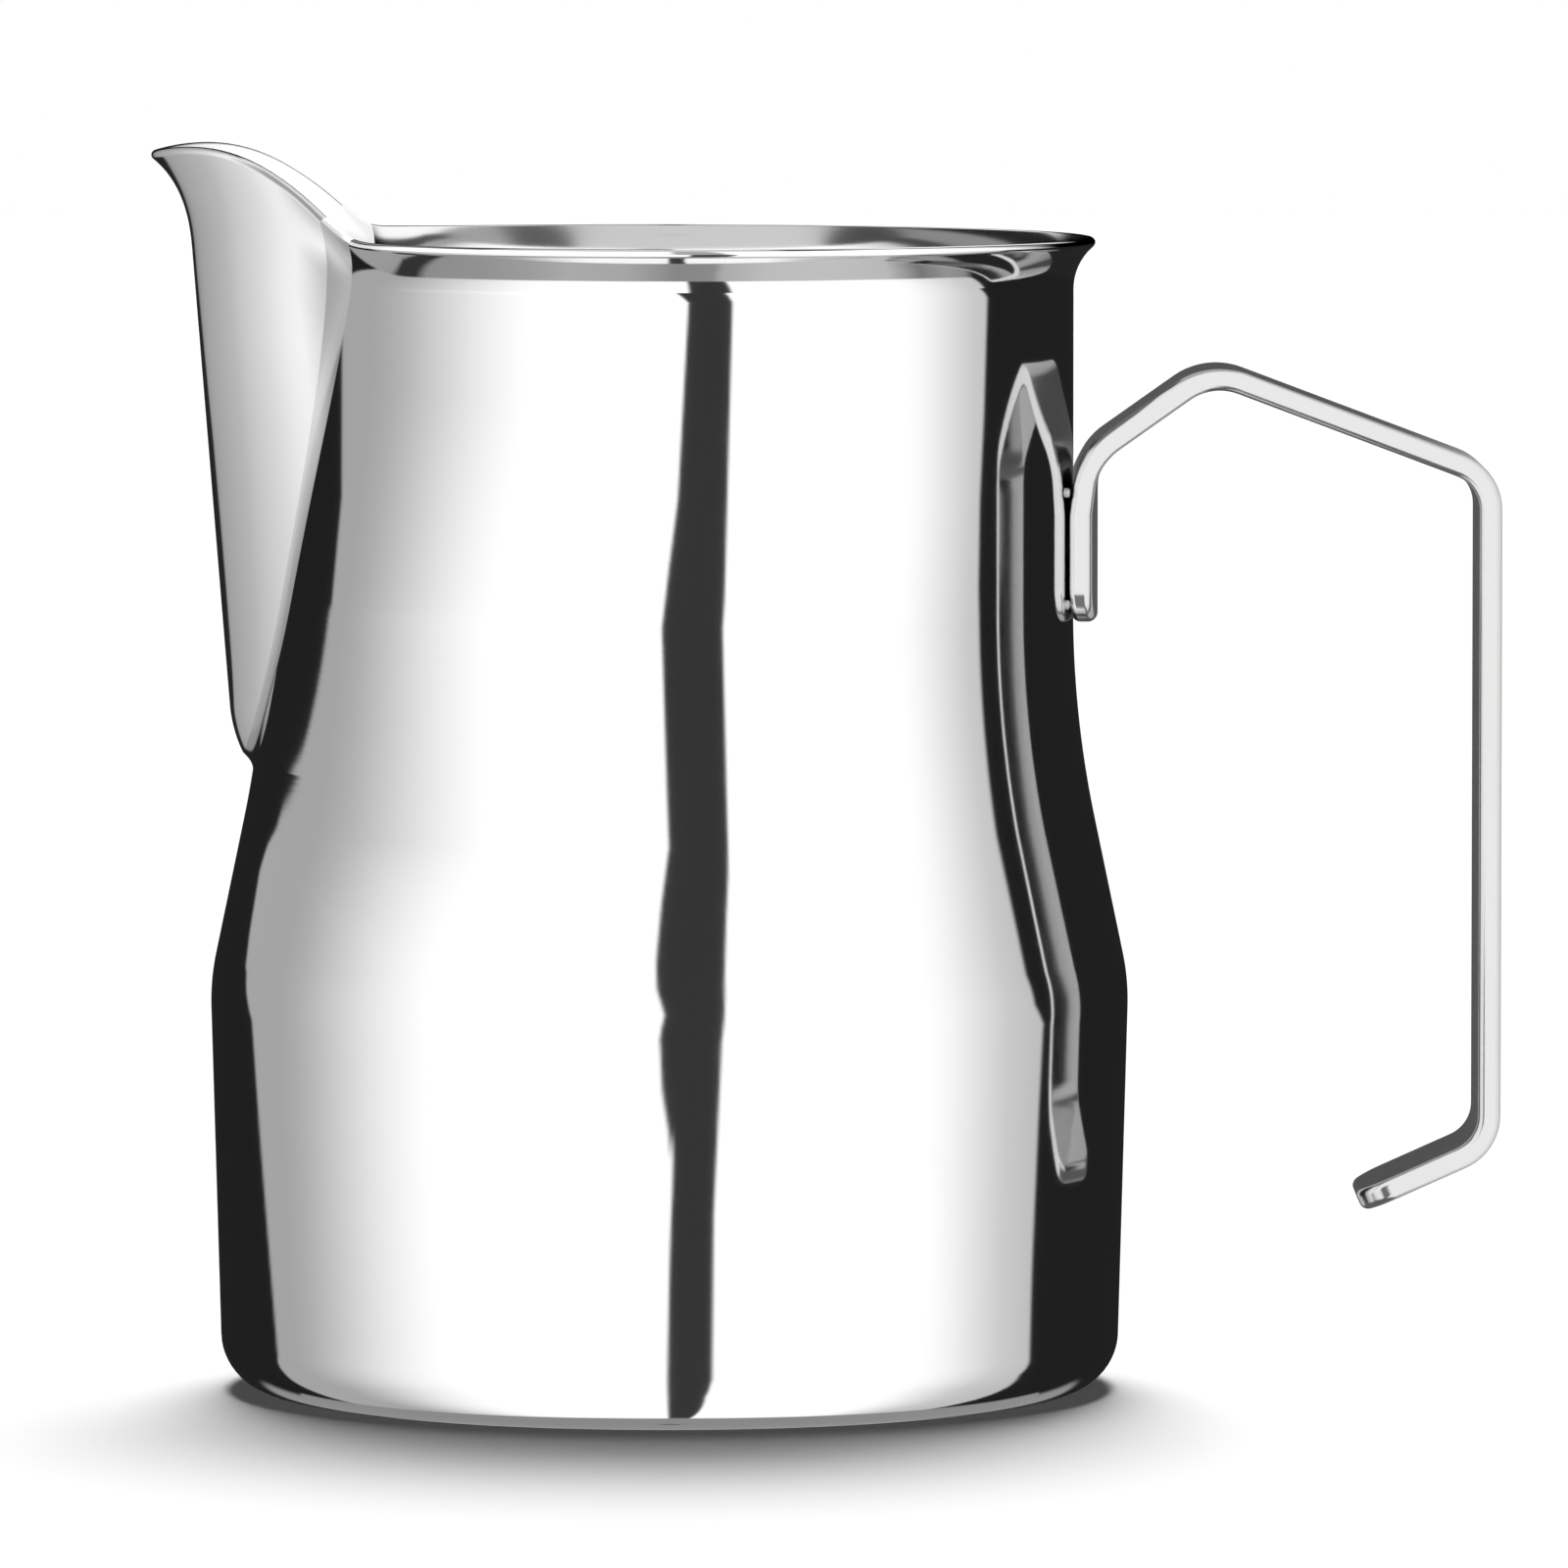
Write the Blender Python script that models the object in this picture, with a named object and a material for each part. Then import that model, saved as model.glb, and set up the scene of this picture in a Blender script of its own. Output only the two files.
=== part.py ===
"""Milk frothing pitcher, 500 ml class: a drawn stainless steel cup with a welded beak spout
and a bent strip handle spot welded to its wall.

Frame: metres, +Z up, origin at the centre of the flat base, the spout towards -X, the handle towards +X.
Every sub-part is its own object. Lengths below are in millimetres and are turned into metres by mm().
"""

import math

import bmesh
import bpy
import numpy as np

# --- driving dimensions, in millimetres and degrees ---------------------------------------------

SHEET = 1.0  # wall of the cup and of the spout

BASE_RADIUS = 43.4  # where the side wall would meet the base plane
BASE_CORNER = 5.5
BELLY_RADIUS = 44.5  # widest point of the side wall, before its crease is rounded
BELLY_HEIGHT = 39.8
BELLY_ROUNDING = 22.0
NECK_RADIUS = 39.1
SHOULDER_TOP = 65.6  # where the shoulder cone would meet the neck
SHOULDER_ROUNDING = 100.0
RIM_HEIGHT = 111.6  # top of the lip
LIP_RADIUS = 5.4  # inner bend of the flared lip
LIP_ANGLE = 50.0  # how far the lip leans out from vertical
CUP_STEPS = 64

SPOUT_BOTTOM = 60.8  # lowest point of the spout's seam on the wall
SEAM_HALF_WIDTH = 24.0  # half the spout's width where the seam reaches the rim
SEAM_SWELL = 1.5  # shape of the seam: how early it reaches its width
SEAM_BLUNTNESS = 0.6  # shape of the seam: how round its lower end is
RIDGE_FOOT = (65.9, 42.55)  # height and radius of the ridge just above its rounded lower end
RIDGE_SLOPE = 0.081
RIDGE_ROUNDING = 5.5
BEAK_START = 109.5  # height where the ridge starts to curl out into the beak
BEAK_TIP = 119.2
BEAK_REACH = 3.0
BEAK_CURL = 2.7
NOSE_SHARE = 0.42  # how wide the rounded nose is, as a share of the spout's half width
CREST_HEIGHT = 119.9  # highest point of the spout's pouring edge
CREST_PLACE = 0.6  # its place along the edge, from 0 at the seam to 1 at the tip
EDGE_SWEEP = 3.0  # how steeply the pouring edge leaves the rim
SPOUT_ROWS = 22
SPOUT_COLUMNS = 11

SEAM_GAP = 0.3
BEAD_WIDTH = 0.9  # ground-flush weld bead between spout and cup

STRIP_WIDTH = 16.0
STRIP_THICKNESS = 2.2
STRIP_CORNER = 3.4  # rounded corners at both ends of the strip
STRIP_EDGE = 0.55  # rounding of its long edges
TAB_GAP = 0.45  # between the wall and the tab
TAB_BOTTOM = 74.7
TAB_REACH = 6.0  # the strip follows the wall's curve only this close to it
HANDLE_BENDS = (  # x, z of each corner of the strip's middle plane, and its bend radius
    (90.6, 5.5),  # x follows from the wall
    (52.2, 98.95, 6.0),
    (79.2, 88.8, 4.6),
    (79.2, 24.2, 4.5),
)
HANDLE_TIP = (66.7, 18.6)
STRIP_COLUMNS = 9

NUGGET_RADIUS = 2.6
NUGGET_HEIGHTS = (78.6, 85.2)
NUGGET_CLEARANCE = 0.08

# --- materials -------------------------------------------------------------------------------------

FINISHES = {
    "polished_steel": ((0.80, 0.80, 0.81, 1.0), 0.06),
    "satin_steel": ((0.70, 0.70, 0.70, 1.0), 0.28),
    "weld_steel": ((0.62, 0.61, 0.60, 1.0), 0.35),
}


def mm(length):
    """Millimetres to metres, for a number or an array."""
    return length * 0.001


def clear_scene():
    for obj in list(bpy.data.objects):
        bpy.data.objects.remove(obj)


def steel(name):
    """The Principled material for one of FINISHES, made once."""
    found = bpy.data.materials.get(name)
    if found:
        return found
    colour, roughness = FINISHES[name]
    material = bpy.data.materials.new(name)
    material.use_nodes = True
    shader = material.node_tree.nodes["Principled BSDF"]
    shader.inputs["Base Color"].default_value = colour
    shader.inputs["Metallic"].default_value = 1.0
    shader.inputs["Roughness"].default_value = roughness
    return material


def mesh_object(name, points, faces, finish=None, edges=()):
    """An object at the origin from points in millimetres."""
    mesh = bpy.data.meshes.new(name)
    mesh.from_pydata([tuple(mm(np.asarray(p, float))) for p in points], edges, faces)
    mesh.update()
    obj = bpy.data.objects.new(name, mesh)
    bpy.context.scene.collection.objects.link(obj)
    if finish:
        mesh.materials.append(steel(finish))
    return obj


def face_outwards(obj):
    shape = bmesh.new()
    shape.from_mesh(obj.data)
    bmesh.ops.recalc_face_normals(shape, faces=shape.faces)
    shape.to_mesh(obj.data)
    shape.free()


def smooth(obj, angle=35.0):
    obj.data.shade_smooth()
    obj.data.set_sharp_from_angle(angle=math.radians(angle))


# --- the cup's profile -------------------------------------------------------------------------------


def rounded_corner(before, corner, after, radius, steps):
    """Points of the arc that rounds the corner of a path in a plane."""
    before, corner, after = (np.asarray(p, float) for p in (before, corner, after))
    way_in = (corner - before) / np.linalg.norm(corner - before)
    way_out = (after - corner) / np.linalg.norm(after - corner)
    turn = math.acos(np.clip(way_in @ way_out, -1.0, 1.0))
    reach = radius * math.tan(turn / 2)
    side = math.copysign(1.0, way_in[0] * way_out[1] - way_in[1] * way_out[0])
    centre = corner - way_in * reach + side * radius * np.array([-way_in[1], way_in[0]])
    arm = corner - way_in * reach - centre
    points = []
    for angle in np.linspace(0.0, side * turn, steps + 1):
        c, s = math.cos(angle), math.sin(angle)
        points.append(centre + np.array([c * arm[0] - s * arm[1], s * arm[0] + c * arm[1]]))
    return points


def lip_points(steps):
    """The outer side of the flared lip, from the straight neck up to its edge. Its inner side reaches
    RIM_HEIGHT."""
    lean = math.radians(LIP_ANGLE)
    start = RIM_HEIGHT - SHEET * math.sin(lean) - LIP_RADIUS * math.sin(lean)
    return [
        np.array([NECK_RADIUS + LIP_RADIUS * (1 - math.cos(a)), start + LIP_RADIUS * math.sin(a)])
        for a in np.linspace(0.0, lean, steps + 1)
    ]


def outer_profile():
    """(radius, height) points of the cup's outer side, from the middle of the base to the lip's edge."""
    base = (0.0, 0.0)
    corner = (BASE_RADIUS, 0.0)
    belly = (BELLY_RADIUS, BELLY_HEIGHT)
    shoulder = (NECK_RADIUS, SHOULDER_TOP)
    lip = lip_points(5)
    points = [np.array(base)]
    points += rounded_corner(base, corner, belly, BASE_CORNER, 5)
    points += rounded_corner(corner, belly, shoulder, BELLY_ROUNDING, 4)
    points += rounded_corner(belly, shoulder, lip[0], SHOULDER_ROUNDING, 4)
    return np.array(points + lip)


def normals_of(points):
    """Unit normals of a path, to the left of its direction."""
    step = np.gradient(points, axis=0)
    step /= np.linalg.norm(step, axis=1)[:, None]
    return np.column_stack([-step[:, 1], step[:, 0]])


def wall_radius(height):
    """Outer radius of the side wall at a height."""
    profile = outer_profile()[2:]
    return np.interp(height, profile[:, 1], profile[:, 0])


def lip_edge(outer, inner, steps=3):
    """The rounded edge of the sheet between the lip's outer and inner side."""
    middle = (outer + inner) / 2
    arm = outer - middle
    way_up = np.array([arm[1], -arm[0]])
    if way_up[1] < 0:
        way_up = -way_up
    return [
        middle + arm * math.cos(a) + way_up * math.sin(a)
        for a in np.linspace(0.0, math.pi, steps + 1)[1:-1]
    ]


# --- the spout's shape -----------------------------------------------------------------------------------


def seam_half_width(height):
    """Half the distance between the two sides of the spout's seam at a height."""
    share = np.clip((height - SPOUT_BOTTOM) / (RIM_HEIGHT - SPOUT_BOTTOM), 0.0, 1.0)
    return SEAM_HALF_WIDTH * (1 - (1 - share) ** SEAM_SWELL) ** SEAM_BLUNTNESS


def seam_radius(height):
    """Radius of the seam: the wall's, without the lip's flare."""
    return wall_radius(min(height, RIM_HEIGHT - 2 * LIP_RADIUS))


def ridge_reach(height):
    """Distance of the spout's ridge from the cup's axis at a height."""
    foot, reach = RIDGE_FOOT
    line = reach + RIDGE_SLOPE * (height - foot)
    if height < SPOUT_BOTTOM + RIDGE_ROUNDING:
        share = (height - SPOUT_BOTTOM) / RIDGE_ROUNDING
        wall = seam_radius(height)
        return wall + (line - wall) * math.sqrt(max(0.0, 1 - (1 - share) ** 2))
    curl = max(0.0, (height - BEAK_START) / (BEAK_TIP - BEAK_START))
    return line + BEAK_REACH * curl**BEAK_CURL


def pouring_edge(place):
    """Height of the spout's top edge at a place from 0 at the seam to 1 at the tip."""
    if place > CREST_PLACE:
        fall = (place - CREST_PLACE) / (1 - CREST_PLACE)
        return CREST_HEIGHT - (CREST_HEIGHT - BEAK_TIP) * fall**2
    rise = place / CREST_PLACE
    return RIM_HEIGHT + (CREST_HEIGHT - RIM_HEIGHT) * (1 - (1 - rise) ** EDGE_SWEEP)


def spout_point(place, rise):
    """Point of the spout's outer side. Place runs from 0 at the seam to 1 at the ridge, and rise
    from 0 at the lowest point to 1 at the pouring edge."""
    height = SPOUT_BOTTOM + rise * (pouring_edge(place) - SPOUT_BOTTOM)
    seam_height = SPOUT_BOTTOM + rise * (RIM_HEIGHT - SPOUT_BOTTOM)
    radius = seam_radius(seam_height)
    half = seam_half_width(seam_height)
    reach = ridge_reach(SPOUT_BOTTOM + rise * (BEAK_TIP - SPOUT_BOTTOM))
    seam = np.array([-math.sqrt(max(0.0, radius**2 - half**2)), half])
    nose = np.array([-reach, NOSE_SHARE * half])
    ridge = np.array([-reach, 0.0])
    x, y = (1 - place) ** 2 * seam + 2 * place * (1 - place) * nose + place**2 * ridge
    return np.array([x, y, height])


def seam_outline(offset, steps=16):
    """(angle, height) of one side of the spout's seam, moved outwards along the wall by an offset,
    from the lowest point to the rim."""
    rise = np.linspace(0.0, 1.0, steps + 1) ** 1.8
    heights = SPOUT_BOTTOM + rise * (RIM_HEIGHT - SPOUT_BOTTOM)
    radii = np.array([seam_radius(h) for h in heights])
    along = np.array([r * math.asin(seam_half_width(h) / r) for r, h in zip(radii, heights)])
    path = np.column_stack([along, heights])
    away = -normals_of(path)
    away[0] = (0.0, -1.0)
    away[-1] = (1.0, 0.0)
    moved = path + offset * away
    moved[0, 0] = 0.0
    return np.column_stack([moved[:, 0] / radii, moved[:, 1]])


# --- sub-parts -------------------------------------------------------------------------------------------


def make_notch_cutter():
    """A closed wedge as wide as the opening that the spout and its weld fill."""
    near, far, above = 20.0, 70.0, 20.0  # inside the cup, outside it, and over its rim
    outline = list(seam_outline(2 * SEAM_GAP + BEAD_WIDTH))
    outline.append(np.array([outline[-1][0], RIM_HEIGHT + above]))
    points = [(-near, 0.0, outline[0][1]), (-far, 0.0, outline[0][1])]
    for angle, height in outline[1:]:
        c, s = math.cos(angle), math.sin(angle)
        points += [(-r * c, y * r * s, height) for y in (-1, 1) for r in (near, far)]
    faces = [(0, 2, 4), (1, 5, 3), (0, 1, 3, 2), (0, 4, 5, 1)]
    for row in range(len(outline) - 2):
        a = 2 + 4 * row
        b = a + 4
        faces += [(a, b, b + 2, a + 2), (a + 1, a + 3, b + 3, b + 1)]
        faces += [(a, a + 1, b + 1, b), (a + 2, b + 2, b + 3, a + 3)]
    top = len(points) - 4
    faces.append((top, top + 1, top + 3, top + 2))
    cutter = mesh_object("notch_cutter", points, faces)
    face_outwards(cutter)
    cutter.hide_render = True
    cutter.display_type = "WIRE"
    return cutter


def make_cup():
    """The drawn cup in one sheet: flat base, belly, neck and flared lip, with the spout's opening."""
    outer = outer_profile()
    inner = outer + SHEET * normals_of(outer)
    inner[0] = (0.0, SHEET)
    edge = lip_edge(outer[-1], inner[-1])
    section = list(inner) + edge[::-1] + list(outer[::-1])
    points = [(r, 0.0, z) for r, z in section]
    edges = [(i, i + 1) for i in range(len(points) - 1)]
    cup = mesh_object("cup", points, [], "polished_steel", edges)
    turn = cup.modifiers.new("turn", "SCREW")
    turn.axis = "Z"
    turn.steps = turn.render_steps = CUP_STEPS
    turn.use_merge_vertices = True
    turn.merge_threshold = 1e-5
    cut = cup.modifiers.new("spout_opening", "BOOLEAN")
    cut.operation = "DIFFERENCE"
    cut.object = make_notch_cutter()
    smooth(cup)
    return cup


def make_spout():
    """The beak: one pressed sheet, from its seam on one side of the wall round the ridge to the other."""
    places = np.linspace(0.0, 1.0, SPOUT_COLUMNS)
    columns = [(p, 1) for p in places] + [(p, -1) for p in places[-2::-1]]
    rises = (1 - np.cos(np.linspace(0.0, math.pi, SPOUT_ROWS + 1)[1:])) / 2
    points = [spout_point(0.0, 0.0)]
    for rise in rises:
        for place, side in columns:
            x, y, z = spout_point(place, rise)
            points.append((x, side * y, z))
    width = len(columns)
    faces = [(0, 2 + c, 1 + c) for c in range(width - 1)]
    for row in range(SPOUT_ROWS - 1):
        start = 1 + row * width
        for c in range(start, start + width - 1):
            faces.append((c, c + 1, c + width + 1, c + width))
    spout = mesh_object("spout", points, faces, "polished_steel")
    thicken = spout.modifiers.new("sheet", "SOLIDIFY")
    thicken.thickness = mm(SHEET)
    thicken.offset = -1.0
    thicken.use_even_offset = True
    smooth(spout)
    return spout


def make_spout_weld():
    """The weld bead, ground flush with the wall, in the seam between cup and spout."""
    near = seam_outline(SEAM_GAP)
    far = seam_outline(SEAM_GAP + BEAD_WIDTH)
    pairs = list(zip(near, far))
    rows = [(n, f, -1) for n, f in pairs[:0:-1]] + [(n, f, 1) for n, f in pairs]
    points = []
    for near_end, far_end, side in rows:
        for angle, height in (near_end, far_end):
            radius = seam_radius(height)
            points.append((-radius * math.cos(angle), side * radius * math.sin(angle), height))
    faces = [(2 * i, 2 * i + 2, 2 * i + 3, 2 * i + 1) for i in range(len(rows) - 1)]
    bead = mesh_object("spout_weld", points, faces, "polished_steel")
    thicken = bead.modifiers.new("sheet", "SOLIDIFY")
    thicken.thickness = mm(SHEET)
    thicken.offset = -1.0
    return bead


def handle_path():
    """(x, z) points of the strip's middle plane, from the bottom of the tab to the free tip."""
    tab = wall_radius(TAB_BOTTOM) + TAB_GAP + STRIP_THICKNESS / 2
    (first_height, first_bend), *others = HANDLE_BENDS
    corners = [(tab, TAB_BOTTOM), (tab, first_height)] + [b[:2] for b in others] + [HANDLE_TIP]
    bends = [first_bend] + [b[2] for b in others]
    points = [corners[0]]
    for before, corner, after, radius in zip(corners, corners[1:], corners[2:], bends):
        points += rounded_corner(before, corner, after, radius, 5)
    return np.array([tuple(p) for p in points] + [corners[-1]])


def with_rounded_ends(path):
    """The path with extra points at both ends, and the strip's half width at each point."""
    steps = STRIP_CORNER * (1 - np.cos(np.linspace(0.0, math.pi / 2, 5)))
    first = (path[1] - path[0]) / np.linalg.norm(path[1] - path[0])
    last = (path[-2] - path[-1]) / np.linalg.norm(path[-2] - path[-1])
    start = [path[0] + s * first for s in steps]
    end = [path[-1] + s * last for s in steps[::-1]]
    narrow = [
        STRIP_WIDTH / 2 - STRIP_CORNER + math.sqrt(STRIP_CORNER**2 - (STRIP_CORNER - s) ** 2)
        for s in steps
    ]
    middle = list(path[1:-1])
    widths = narrow + [STRIP_WIDTH / 2] * len(middle) + narrow[::-1]
    return np.array(start + middle + end), widths


def make_handle():
    """The handle: one bent flat bar, whose tab is curved to lie on the wall."""
    path, widths = with_rounded_ends(handle_path())
    first_height, first_bend = HANDLE_BENDS[0]
    bend_start = first_height - first_bend
    wall = wall_radius(TAB_BOTTOM) + TAB_GAP
    points = []
    for (x, z), half in zip(path, widths):
        fade = np.clip(1 - (z - bend_start) / first_bend, 0.0, 1.0) if x < wall + TAB_REACH else 0.0
        for y in np.linspace(-half, half, STRIP_COLUMNS):
            sag = wall - math.sqrt(wall**2 - y**2)
            points.append((x - fade * sag, y, z))
    faces = []
    for row in range(len(path) - 1):
        start = row * STRIP_COLUMNS
        for c in range(start, start + STRIP_COLUMNS - 1):
            faces.append((c, c + 1, c + 1 + STRIP_COLUMNS, c + STRIP_COLUMNS))
    handle = mesh_object("handle", points, faces, "satin_steel")
    thicken = handle.modifiers.new("bar", "SOLIDIFY")
    thicken.thickness = mm(STRIP_THICKNESS)
    thicken.offset = 0.0
    thicken.use_even_offset = True
    edges = handle.modifiers.new("rounded_edges", "BEVEL")
    edges.width = mm(STRIP_EDGE)
    edges.segments = 2
    edges.limit_method = "ANGLE"
    edges.angle_limit = math.radians(50.0)
    smooth(handle)
    return handle


def make_spot_weld(name, height):
    """A weld nugget: a thin round disc, curved like the wall, between the wall and the tab."""
    inside = wall_radius(height) + NUGGET_CLEARANCE
    thickness = TAB_GAP - 2 * NUGGET_CLEARANCE
    rings, sides = 3, 20
    points = [(inside, 0.0, height)]
    for ring in range(1, rings + 1):
        reach = NUGGET_RADIUS * ring / rings
        for step in range(sides):
            turn = 2 * math.pi * step / sides
            angle = reach * math.cos(turn) / inside
            points.append(
                (inside * math.cos(angle), inside * math.sin(angle), height + reach * math.sin(turn))
            )
    faces = [(0, 1 + s, 1 + (s + 1) % sides) for s in range(sides)]
    for ring in range(rings - 1):
        a = 1 + ring * sides
        for s in range(sides):
            t = (s + 1) % sides
            faces.append((a + s, a + sides + s, a + sides + t, a + t))
    nugget = mesh_object(name, points, faces, "weld_steel")
    thicken = nugget.modifiers.new("nugget", "SOLIDIFY")
    thicken.thickness = mm(thickness)
    thicken.offset = 1.0
    return nugget


def main():
    clear_scene()
    make_cup()
    make_spout()
    make_spout_weld()
    make_handle()
    for name, height in zip(("handle_weld_lower", "handle_weld_upper"), NUGGET_HEIGHTS):
        make_spot_weld(name, height)


main()
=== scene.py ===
"""Looks of the milk frothing pitcher: a polished steel cup with a welded beak spout and a bent strip handle.

Lengths are in millimetres in the row's own frame, and are turned into metres by mm(). The spout points
towards -X and the handle towards +X. On the pitcher, angles round the axis are in radians from the spout. In
the studio they are in degrees from the camera's side, positive towards the handle.
"""

import math

import bpy
import numpy as np
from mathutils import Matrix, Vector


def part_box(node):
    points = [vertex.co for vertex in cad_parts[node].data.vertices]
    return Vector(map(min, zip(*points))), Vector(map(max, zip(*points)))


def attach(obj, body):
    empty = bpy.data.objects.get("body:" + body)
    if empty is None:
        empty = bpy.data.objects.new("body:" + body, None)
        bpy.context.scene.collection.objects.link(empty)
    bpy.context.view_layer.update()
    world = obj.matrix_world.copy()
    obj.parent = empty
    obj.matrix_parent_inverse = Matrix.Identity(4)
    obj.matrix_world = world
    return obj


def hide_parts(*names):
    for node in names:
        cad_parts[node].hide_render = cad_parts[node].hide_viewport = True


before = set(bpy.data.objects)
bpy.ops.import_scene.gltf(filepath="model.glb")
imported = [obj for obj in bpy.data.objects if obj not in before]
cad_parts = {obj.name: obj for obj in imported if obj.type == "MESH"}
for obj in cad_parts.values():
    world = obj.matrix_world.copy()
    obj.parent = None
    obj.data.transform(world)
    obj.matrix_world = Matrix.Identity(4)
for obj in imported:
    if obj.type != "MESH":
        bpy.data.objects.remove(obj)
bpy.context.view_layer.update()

# --- the pitcher's dimensions ---------------------------------------------------------------------

SHEET = 1.0  # wall of the cup and of the spout

BASE_RADIUS = 43.4  # where the side wall would meet the base plane
BASE_CORNER = 5.5
BELLY_RADIUS = 44.5  # widest point of the side wall, before its crease is rounded
BELLY_HEIGHT = 39.8
BELLY_ROUNDING = 22.0
NECK_RADIUS = 39.1
SHOULDER_TOP = 65.6  # where the shoulder cone would meet the neck
SHOULDER_ROUNDING = 100.0
RIM_HEIGHT = 111.6  # top of the lip
LIP_RADIUS = 5.4  # inner bend of the flared lip
LIP_LEAN = math.radians(50.0)  # how far the lip leans out from vertical
RIM_OUTER = RIM_HEIGHT - SHEET * math.sin(LIP_LEAN)  # height of the lip's lower edge
LIP_START = RIM_OUTER - LIP_RADIUS * math.sin(LIP_LEAN)
LIP_SPLIT = 0.4  # the lip is a mesh of its own from this far above its start
LIP_AT_SEAM = 0.35  # how much of the lip's flare is left where the spout begins
LIP_FULL_ANGLE = math.radians(52.0)  # the whole flare is there from this angle on

SPOUT_BOTTOM = 60.8  # lowest point of the spout's seam on the wall
SEAM_HALF_WIDTH = 24.0  # half the spout's width where the seam reaches the rim
SEAM_ANGLE = math.asin(SEAM_HALF_WIDTH / NECK_RADIUS)
SEAM_SWELL = 1.5  # shape of the seam: how early it reaches its width
SEAM_BLUNTNESS = 0.6  # shape of the seam: how round its lower end is
FILLET = (0.8, 2.0)  # half width of the blended seam, at its lower end and at the rim
TOE_SHARE = 0.35  # what is left of the sheet's thickness at the spout's lowest point
RIDGE_FOOT = (65.9, 42.55)  # height and radius of the ridge just above its rounded lower end
RIDGE_SLOPE = 0.081
RIDGE_ROUNDING = 5.5
BEAK_START = 109.5  # height where the ridge starts to curl out into the beak
BEAK_TIP = 119.2
BEAK_REACH = 3.0
BEAK_CURL = 2.7
NOSE_SHARE = 0.42  # how wide the rounded nose is, as a share of the spout's half width
CREST_HEIGHT = 119.9  # highest point of the spout's pouring edge
EDGE_START, CREST_X, TIP_X = 30.9, 45.5, 50.1  # where the pouring edge leaves the rim, peaks and ends
EDGE_SWEEP = 2.05
EDGE_SOFTNESS = 0.12

STRIP_WIDTH = 16.0
STRIP_THICKNESS = 2.2
STRIP_CORNER = 3.4  # rounded corners at both ends of the strip
STRIP_EDGE = 0.7  # rounding of its long edges
TAB_GAP = 0.16  # between the wall and the tab
TAB_BOTTOM = 74.7
TAB_REACH = 6.0  # the strip follows the wall's curve only this close to it
HANDLE_BENDS = (  # x, z of each corner of the strip's middle plane, and its bend radius
    (90.6, 5.5),  # x follows from the wall
    (52.2, 98.95, 6.0),
    (79.2, 88.8, 4.6),
    (79.2, 24.2, 4.5),
)
HANDLE_TIP = (66.7, 18.6)

NUGGET_RADIUS = 2.6
BEAD_SIZE = (0.28, 0.45, 0.5)  # half sizes of the metal squeezed out beside the tab
BEAD_OFFSET = 7.75
BEAD_SPREAD = 2.1  # how much farther than the nuggets the beads are from the welds' middle
WELDS_MIDDLE = 82.0  # height between the two welds

# --- fineness of the meshes ------------------------------------------------------------------------

WALL_STEPS = (14, 14, 20)  # in the base's corner, the belly's rounding and the shoulder's
FINE_STEPS = (300, 300, 600)
BASE_RINGS = 8
CUP_COLUMNS = 320
SEAM_ROWS = 130
FILLET_STEPS = 8
SPOUT_COLUMNS = 40
EDGE_STEPS = 8  # round the sheet's rolled edge
BEND_STEPS = 60
STRIP_ROWS = 218
STRIP_COLUMNS = 15
CORNER_POINTS = 9  # along each rounded corner of the strip
ROUND_POINTS = 6  # along each rounding of its long edges
PROBE = 0.12  # step for slopes and normals
WELD_DISTANCE = 1e-4
WELD_SHIFT = 0.137  # keeps round coordinates away from the border between two cells of that size


def mm(length):
    """Millimetres to metres, for a number or an array."""
    return length * 0.001


def smoothstep(low, high, value):
    """A soft step from 0 at low to 1 at high."""
    share = np.clip((value - low) / (high - low), 0.0, 1.0)
    return share * share * (3 - 2 * share)


def unit(vectors):
    """The vectors with a length of 1."""
    return vectors / np.maximum(np.linalg.norm(vectors, axis=-1, keepdims=True), 1e-12)


# --- the cup's wall -------------------------------------------------------------------------------


def rounded_corner(before, corner, after, radius, steps):
    """Points of the arc that rounds the corner of a path in a plane."""
    before, corner, after = (np.asarray(p, float) for p in (before, corner, after))
    way_in = (corner - before) / np.linalg.norm(corner - before)
    way_out = (after - corner) / np.linalg.norm(after - corner)
    turn = math.acos(np.clip(way_in @ way_out, -1.0, 1.0))
    reach = radius * math.tan(turn / 2)
    side = math.copysign(1.0, way_in[0] * way_out[1] - way_in[1] * way_out[0])
    centre = corner - way_in * reach + side * radius * np.array([-way_in[1], way_in[0]])
    arm = corner - way_in * reach - centre
    angles = np.linspace(0.0, side * turn, steps + 1)
    c, s = np.cos(angles), np.sin(angles)
    return np.column_stack([centre[0] + c * arm[0] - s * arm[1], centre[1] + s * arm[0] + c * arm[1]])


def wall_profile(corner_steps, belly_steps, shoulder_steps):
    """(radius, height) points of the side wall's outer side, from the base up to the neck."""
    corner = (BASE_RADIUS, 0.0)
    belly = (BELLY_RADIUS, BELLY_HEIGHT)
    shoulder = (NECK_RADIUS, SHOULDER_TOP)
    return np.vstack([
        rounded_corner((0.0, 0.0), corner, belly, BASE_CORNER, corner_steps),
        rounded_corner(corner, belly, shoulder, BELLY_ROUNDING, belly_steps),
        rounded_corner(belly, shoulder, (NECK_RADIUS, RIM_HEIGHT), SHOULDER_ROUNDING, shoulder_steps),
    ])


FINE_WALL = wall_profile(*FINE_STEPS)


def wall(height):
    """Outer radius of the side wall at a height."""
    return np.interp(height, FINE_WALL[:, 1], FINE_WALL[:, 0])


def flare(height):
    """How far the lip leans out of the neck at a height."""
    over = np.clip(height - LIP_START, 0.0, LIP_RADIUS * math.sin(LIP_LEAN))
    return LIP_RADIUS - np.sqrt(LIP_RADIUS**2 - over**2)


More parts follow.
